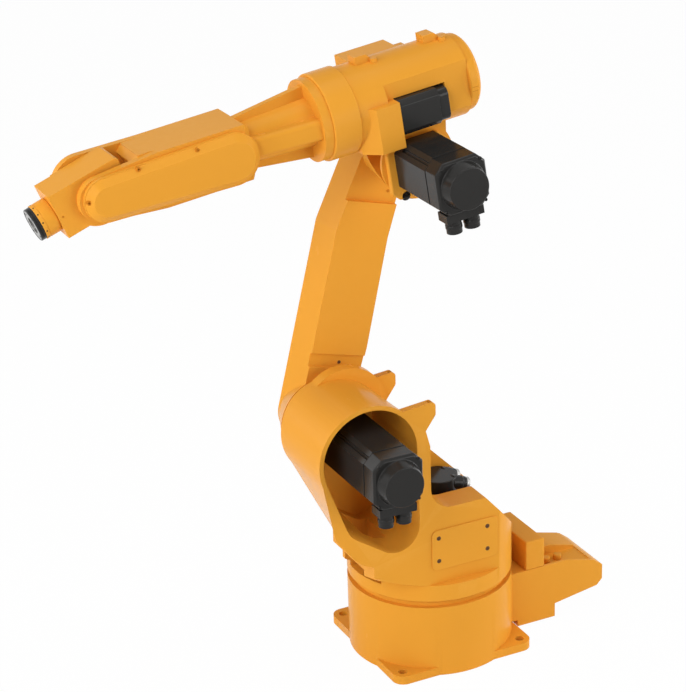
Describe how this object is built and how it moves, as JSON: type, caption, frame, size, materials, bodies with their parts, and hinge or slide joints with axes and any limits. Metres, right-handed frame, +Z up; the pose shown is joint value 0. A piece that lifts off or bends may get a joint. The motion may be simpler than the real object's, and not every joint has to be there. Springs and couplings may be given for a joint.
{
  "type": "industrial robot arm",
  "caption": "Floor-mounted six-axis articulated robot arm with a round base, offset lower arm, roll forearm, wrist and tool flange.",
  "frame": {"origin": "centre of the mounting face, on the base joint's axis", "axes": "+Z up, +X the way the arm reaches, +Y the side of the big motors"},
  "size_m": [1.1605, 0.457, 1.2768],
  "materials": {
    "orange_paint": "semi-gloss enamel on castings",
    "motor_black": "satin black",
    "flange_steel": "machined"
  },
  "bodies": {
    "base": {"base_casting": "orange_paint", "connector_box": "orange_paint", "cable_riser": "orange_paint", "connector_lid": "orange_paint", "service_plugs": "orange_paint"},
    "swivel": {"swivel_casting": "orange_paint", "cheek_cover": "orange_paint", "shoulder_reducer": "orange_paint", "shoulder_motor": "motor_black", "shoulder_motor_encoder": "motor_black", "shoulder_motor_plugs": "motor_black", "base_motor": "motor_black", "base_motor_encoder": "motor_black", "base_motor_plugs": "motor_black"},
    "lower_arm": {"lower_arm_casting": "orange_paint", "arm_hub_cover": "orange_paint", "arm_boss_cover": "orange_paint"},
    "elbow": {"elbow_housing": "orange_paint", "forearm_reducer_ring": "orange_paint", "elbow_rear_cap": "orange_paint", "elbow_side_box": "orange_paint", "elbow_motor_flange": "orange_paint", "elbow_motor": "motor_black", "elbow_motor_encoder": "motor_black", "elbow_motor_plugs": "motor_black", "forearm_motor": "motor_black", "forearm_motor_encoder": "motor_black", "lifting_lug_front": "orange_paint", "lifting_lug_rear": "orange_paint"},
    "forearm": {"forearm_casting": "orange_paint", "belt_cover": "orange_paint", "wrist_bearing_cap": "orange_paint"},
    "wrist": {"wrist_casting": "orange_paint", "wrist_nose": "orange_paint"},
    "tool_flange": {"tool_flange": "flange_steel"}
  },
  "joints": [
    {"name": "base_turn", "type": "hinge", "parent": "base", "child": "swivel", "pos_m": [0, 0, 0.1612], "axis": [0, 0, 1], "range_deg": [-170, 170]},
    {"name": "shoulder_pitch", "type": "hinge", "parent": "swivel", "child": "lower_arm", "pos_m": [0.198, 0, 0.508], "axis": [0, 1, 0], "range_deg": [-50, 115]},
    {"name": "elbow_pitch", "type": "hinge", "parent": "lower_arm", "child": "elbow", "pos_m": [0.032, 0, 1.048], "axis": [0, -1, 0], "range_deg": [-55, 110]},
    {"name": "forearm_roll", "type": "hinge", "parent": "elbow", "child": "forearm", "pos_m": [0.0494, 0, 1.17178], "axis": [0.9903, 0, -0.1392], "range_deg": [-180, 180]},
    {"name": "wrist_bend", "type": "hinge", "parent": "forearm", "child": "wrist", "pos_m": [0.66336, 0, 1.0855], "axis": [0, -1, 0], "range_deg": [-105, 130]},
    {"name": "flange_turn", "type": "hinge", "parent": "wrist", "child": "tool_flange", "pos_m": [0.77594, 0, 1.04115], "axis": [0.9304, 0, -0.3665], "range_deg": [-350, 350]}
  ]
}
